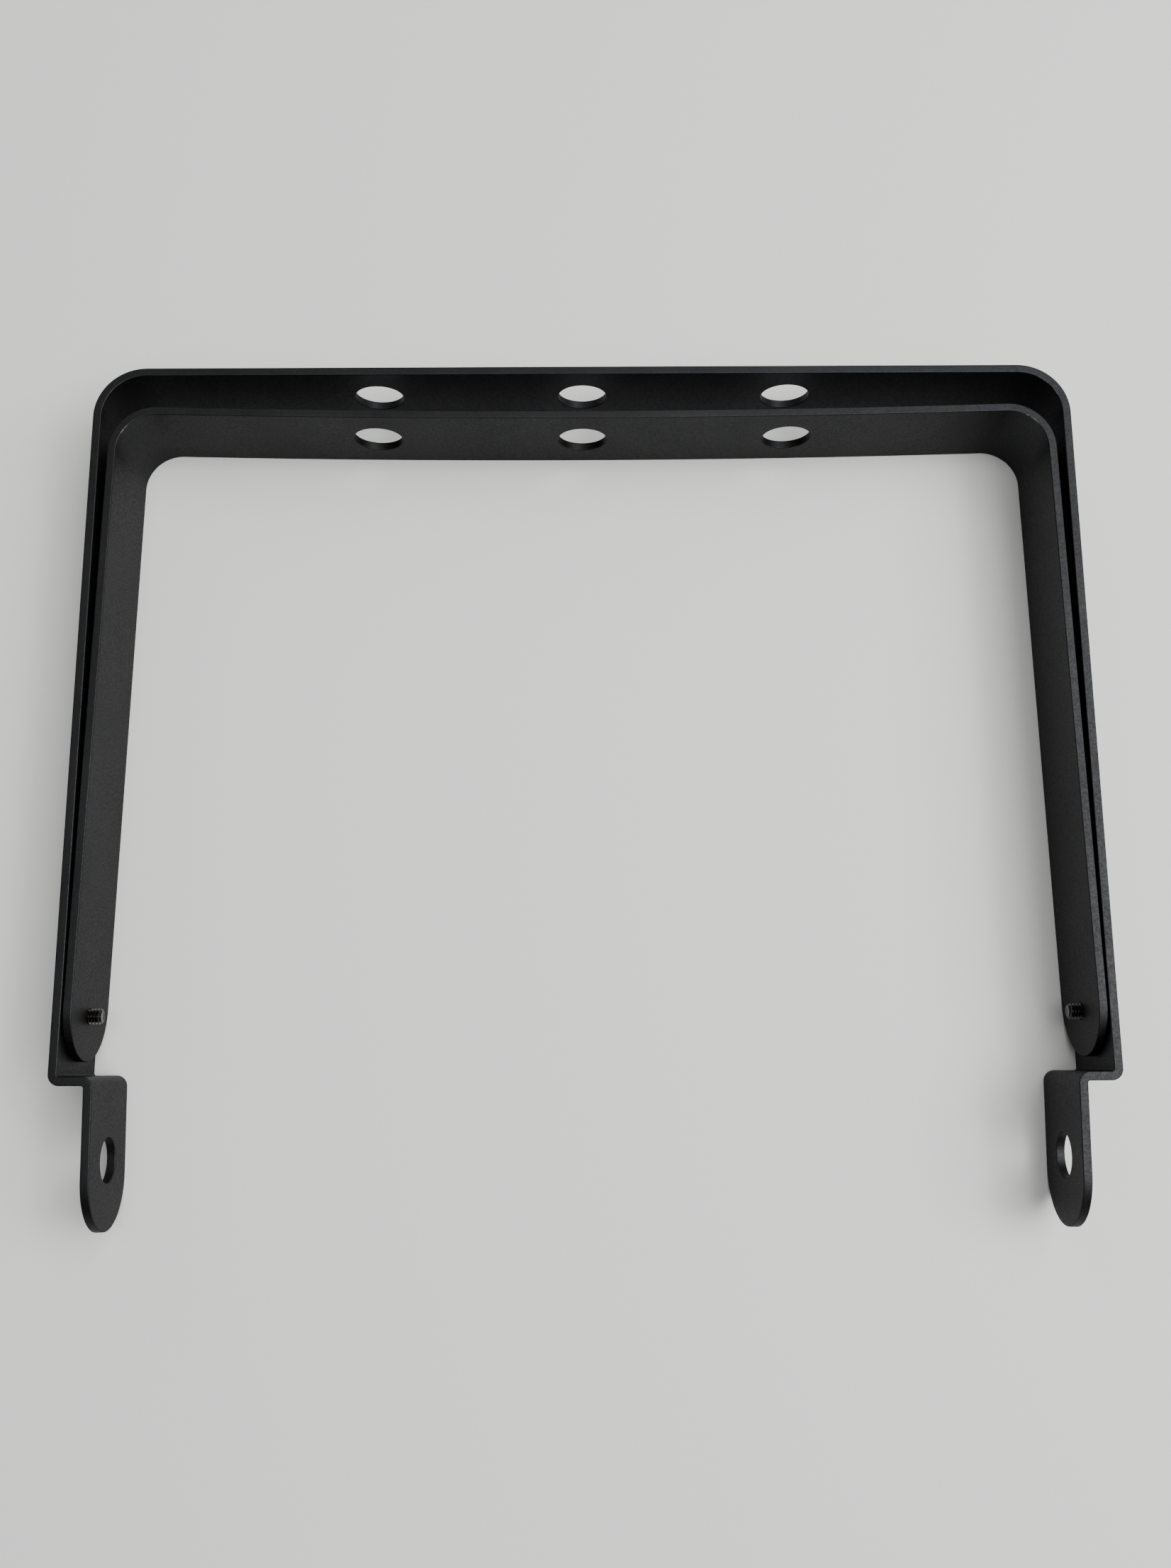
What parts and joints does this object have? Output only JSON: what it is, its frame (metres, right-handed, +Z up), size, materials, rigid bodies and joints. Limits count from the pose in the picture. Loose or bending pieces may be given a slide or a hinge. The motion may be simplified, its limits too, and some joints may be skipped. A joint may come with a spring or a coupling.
{
  "type": "cpu holder",
  "caption": "Matte black bent flat steel holder: an inner yoke swings on two screws inside an outer yoke that has holed end lugs.",
  "frame": {"origin": "middle of the footprint, level with the lower long edges of the bars that the holder stands on", "axes": "+X to the right along the webs and the pivot axis, +Y from the open end towards the webs, +Z up across the bars' width"},
  "size_m": [0.4168, 0.3515, 0.042],
  "materials": {
    "black_powder_coat": "matte fine-texture powder coat",
    "black_screw_steel": "black oxide, oiled, slight sheen"
  },
  "bodies": {
    "outer_frame": {"outer_frame": "black_powder_coat"},
    "inner_frame": {"inner_frame": "black_powder_coat", "pivot_screw_left": "black_screw_steel", "pivot_screw_right": "black_screw_steel"}
  },
  "joints": [
    {"name": "inner_frame_swing", "type": "hinge", "parent": "outer_frame", "child": "inner_frame", "pos_m": [0, -0.09335, 0.021], "axis": [1, 0, 0], "range_deg": [-94, 94]}
  ]
}
